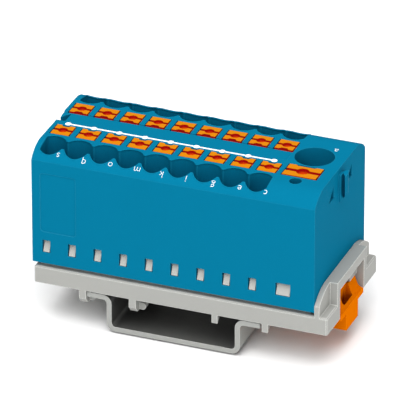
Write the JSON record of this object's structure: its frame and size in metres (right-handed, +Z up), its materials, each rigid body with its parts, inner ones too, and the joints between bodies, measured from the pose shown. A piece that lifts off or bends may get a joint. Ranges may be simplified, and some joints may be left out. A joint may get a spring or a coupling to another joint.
{
  "type": "power distribution block",
  "caption": "Rail-mounted push-in power distribution block with two rows of outlets, one large infeed terminal, release buttons and a sliding rail latch.",
  "frame": {"origin": "centre of the underside of the mounting rail", "axes": "+X along the row of terminals towards the infeed end, front face towards -Y, +Z up out of the rail"},
  "size_m": [0.0596, 0.0274, 0.0364],
  "materials": {
    "blue_plastic": "satin moulded polyamide",
    "grey_plastic": "satin moulded polyamide",
    "orange_plastic": "smooth moulded polyamide",
    "tinned_copper": "tinned copper",
    "spring_steel": "stainless spring steel",
    "zinc_steel": "zinc-plated sheet steel"
  },
  "bodies": {
    "block": {"din_rail": "zinc_steel", "rail_adapter": "grey_plastic", "bottom_cover": "blue_plastic", "busbar": "tinned_copper", "housing": "blue_plastic", "spring_infeed": "spring_steel", "spring_front_1": "spring_steel", "spring_front_2": "spring_steel", "spring_front_3": "spring_steel", "spring_front_4": "spring_steel", "spring_front_5": "spring_steel", "spring_front_6": "spring_steel", "spring_front_7": "spring_steel", "spring_front_8": "spring_steel", "spring_front_9": "spring_steel", "spring_back_1": "spring_steel", "spring_back_2": "spring_steel", "spring_back_3": "spring_steel", "spring_back_4": "spring_steel", "spring_back_5": "spring_steel", "spring_back_6": "spring_steel", "spring_back_7": "spring_steel", "spring_back_8": "spring_steel", "spring_back_9": "spring_steel"},
    "button_front_1": {"button_front_1": "orange_plastic"},
    "button_front_2": {"button_front_2": "orange_plastic"},
    "button_front_3": {"button_front_3": "orange_plastic"},
    "button_front_4": {"button_front_4": "orange_plastic"},
    "button_front_5": {"button_front_5": "orange_plastic"},
    "button_front_6": {"button_front_6": "orange_plastic"},
    "button_front_7": {"button_front_7": "orange_plastic"},
    "button_front_8": {"button_front_8": "orange_plastic"},
    "button_front_9": {"button_front_9": "orange_plastic"},
    "button_back_1": {"button_back_1": "orange_plastic"},
    "button_back_2": {"button_back_2": "orange_plastic"},
    "button_back_3": {"button_back_3": "orange_plastic"},
    "button_back_4": {"button_back_4": "orange_plastic"},
    "button_back_5": {"button_back_5": "orange_plastic"},
    "button_back_6": {"button_back_6": "orange_plastic"},
    "button_back_7": {"button_back_7": "orange_plastic"},
    "button_back_8": {"button_back_8": "orange_plastic"},
    "button_back_9": {"button_back_9": "orange_plastic"},
    "button_infeed": {"button_infeed": "orange_plastic"},
    "latch": {"latch": "orange_plastic"}
  },
  "joints": [
    {"name": "button_front_1_press", "type": "slide", "parent": "block", "child": "button_front_1", "axis": [0, 0, -1], "range_m": [0, 0.0013], "stiffness_N_per_m": 800, "springref_m": -0.0004, "deforming": ["spring_front_1"]},
    {"name": "button_front_2_press", "type": "slide", "parent": "block", "child": "button_front_2", "axis": [0, 0, -1], "range_m": [0, 0.0013], "stiffness_N_per_m": 800, "springref_m": -0.0004, "deforming": ["spring_front_2"]},
    {"name": "button_front_3_press", "type": "slide", "parent": "block", "child": "button_front_3", "axis": [0, 0, -1], "range_m": [0, 0.0013], "stiffness_N_per_m": 800, "springref_m": -0.0004, "deforming": ["spring_front_3"]},
    {"name": "button_front_4_press", "type": "slide", "parent": "block", "child": "button_front_4", "axis": [0, 0, -1], "range_m": [0, 0.0013], "stiffness_N_per_m": 800, "springref_m": -0.0004, "deforming": ["spring_front_4"]},
    {"name": "button_front_5_press", "type": "slide", "parent": "block", "child": "button_front_5", "axis": [0, 0, -1], "range_m": [0, 0.0013], "stiffness_N_per_m": 800, "springref_m": -0.0004, "deforming": ["spring_front_5"]},
    {"name": "button_front_6_press", "type": "slide", "parent": "block", "child": "button_front_6", "axis": [0, 0, -1], "range_m": [0, 0.0013], "stiffness_N_per_m": 800, "springref_m": -0.0004, "deforming": ["spring_front_6"]},
    {"name": "button_front_7_press", "type": "slide", "parent": "block", "child": "button_front_7", "axis": [0, 0, -1], "range_m": [0, 0.0013], "stiffness_N_per_m": 800, "springref_m": -0.0004, "deforming": ["spring_front_7"]},
    {"name": "button_front_8_press", "type": "slide", "parent": "block", "child": "button_front_8", "axis": [0, 0, -1], "range_m": [0, 0.0013], "stiffness_N_per_m": 800, "springref_m": -0.0004, "deforming": ["spring_front_8"]},
    {"name": "button_front_9_press", "type": "slide", "parent": "block", "child": "button_front_9", "axis": [0, 0, -1], "range_m": [0, 0.0013], "stiffness_N_per_m": 800, "springref_m": -0.0004, "deforming": ["spring_front_9"]},
    {"name": "button_back_1_press", "type": "slide", "parent": "block", "child": "button_back_1", "axis": [0, 0, -1], "range_m": [0, 0.0013], "stiffness_N_per_m": 800, "springref_m": -0.0004, "deforming": ["spring_back_1"]},
    {"name": "button_back_2_press", "type": "slide", "parent": "block", "child": "button_back_2", "axis": [0, 0, -1], "range_m": [0, 0.0013], "stiffness_N_per_m": 800, "springref_m": -0.0004, "deforming": ["spring_back_2"]},
    {"name": "button_back_3_press", "type": "slide", "parent": "block", "child": "button_back_3", "axis": [0, 0, -1], "range_m": [0, 0.0013], "stiffness_N_per_m": 800, "springref_m": -0.0004, "deforming": ["spring_back_3"]},
    {"name": "button_back_4_press", "type": "slide", "parent": "block", "child": "button_back_4", "axis": [0, 0, -1], "range_m": [0, 0.0013], "stiffness_N_per_m": 800, "springref_m": -0.0004, "deforming": ["spring_back_4"]},
    {"name": "button_back_5_press", "type": "slide", "parent": "block", "child": "button_back_5", "axis": [0, 0, -1], "range_m": [0, 0.0013], "stiffness_N_per_m": 800, "springref_m": -0.0004, "deforming": ["spring_back_5"]},
    {"name": "button_back_6_press", "type": "slide", "parent": "block", "child": "button_back_6", "axis": [0, 0, -1], "range_m": [0, 0.0013], "stiffness_N_per_m": 800, "springref_m": -0.0004, "deforming": ["spring_back_6"]},
    {"name": "button_back_7_press", "type": "slide", "parent": "block", "child": "button_back_7", "axis": [0, 0, -1], "range_m": [0, 0.0013], "stiffness_N_per_m": 800, "springref_m": -0.0004, "deforming": ["spring_back_7"]},
    {"name": "button_back_8_press", "type": "slide", "parent": "block", "child": "button_back_8", "axis": [0, 0, -1], "range_m": [0, 0.0013], "stiffness_N_per_m": 800, "springref_m": -0.0004, "deforming": ["spring_back_8"]},
    {"name": "button_back_9_press", "type": "slide", "parent": "block", "child": "button_back_9", "axis": [0, 0, -1], "range_m": [0, 0.0013], "stiffness_N_per_m": 800, "springref_m": -0.0004, "deforming": ["spring_back_9"]},
    {"name": "button_infeed_press", "type": "slide", "parent": "block", "child": "button_infeed", "axis": [0, 0, -1], "range_m": [0, 0.0013], "stiffness_N_per_m": 1200, "springref_m": -0.0004, "deforming": ["spring_infeed"]},
    {"name": "latch_slide", "type": "slide", "parent": "block", "child": "latch", "axis": [1, 0, 0], "range_m": [0, 0.0026], "stiffness_N_per_m": 600, "springref_m": -0.0005}
  ]
}
